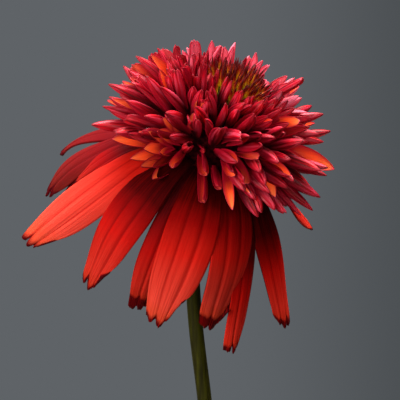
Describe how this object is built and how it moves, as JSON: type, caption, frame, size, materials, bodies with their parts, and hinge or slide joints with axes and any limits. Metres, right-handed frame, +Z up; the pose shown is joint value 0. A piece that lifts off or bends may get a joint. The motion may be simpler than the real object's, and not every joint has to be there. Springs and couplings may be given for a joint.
{
  "type": "coneflower in vase",
  "caption": "Cut double coneflower: a dense dome of pointed florets round a spiky crown over drooping notched rays, on a bare stem in the water of a plain bud vase.",
  "frame": {"origin": "middle of the vase's flat foot, on the surface it stands on", "axes": "+Z up; +X to the right and -Y to the front, the side that the flower head leans to"},
  "size_m": [0.0819, 0.0786, 0.2036],
  "materials": {
    "stoneware": "satin",
    "water": "gloss",
    "stem": "satin",
    "rays": "satin",
    "florets": "satin",
    "crown": "satin"
  },
  "bodies": {
    "root": {"vase": "stoneware", "water": "water", "stem": "stem", "rays": "rays", "florets": "florets", "crown": "crown"}
  },
  "joints": []
}
